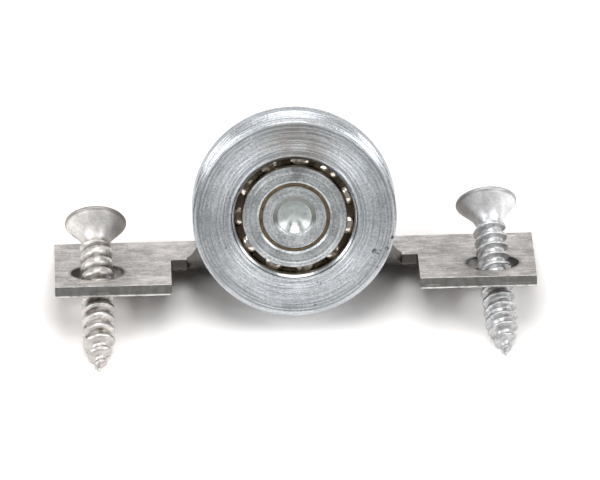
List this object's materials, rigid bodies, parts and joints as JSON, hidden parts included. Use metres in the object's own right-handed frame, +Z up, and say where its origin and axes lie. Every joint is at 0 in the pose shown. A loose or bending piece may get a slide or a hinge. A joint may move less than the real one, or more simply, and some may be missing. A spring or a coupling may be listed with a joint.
{
  "type": "v-groove roller",
  "caption": "Ball-bearing roller wheel with a V groove around its rim, riveted to the upturned web of a sheet-steel bracket that has a screw tab on either side.",
  "frame": {"origin": "on the bracket's underside, midway between the two screw holes", "axes": "+X along the bracket, +Y along the axle from the wheel towards the web, +Z up out of the tabs' upper faces"},
  "size_m": [0.0524, 0.0205, 0.0268],
  "materials": {
    "zinc_sheet": "dull zinc-plated sheet with light handling wear",
    "turned_steel": "bright zinc over lathe-turned steel",
    "race_steel": "satin turned steel",
    "rivet_steel": "bright zinc-plated steel",
    "ball_steel": "polished, with a film of old grease",
    "screw_zinc": "bright zinc plate"
  },
  "bodies": {
    "bracket": {"bracket": "zinc_sheet", "axle_rivet": "rivet_steel", "inner_race_front": "race_steel", "inner_race_rear": "race_steel", "left_screw": "screw_zinc", "right_screw": "screw_zinc"},
    "wheel": {"wheel": "turned_steel"},
    "ball_set": {"ball_01": "ball_steel", "ball_02": "ball_steel", "ball_03": "ball_steel", "ball_04": "ball_steel", "ball_05": "ball_steel", "ball_06": "ball_steel", "ball_07": "ball_steel", "ball_08": "ball_steel", "ball_09": "ball_steel", "ball_10": "ball_steel", "ball_11": "ball_steel"}
  },
  "joints": [
    {"name": "wheel_spin", "type": "hinge", "parent": "bracket", "child": "wheel", "pos_m": [0, -0.00225, 0.0084], "axis": [0, 1, 0], "continuous": true},
    {"name": "ball_orbit", "type": "hinge", "parent": "bracket", "child": "ball_set", "pos_m": [0, -0.00225, 0.0084], "axis": [0, 1, 0], "continuous": true}
  ],
  "couplings": [
    {"joint": "ball_orbit", "follows": "wheel_spin", "ratio": 0.6301}
  ]
}
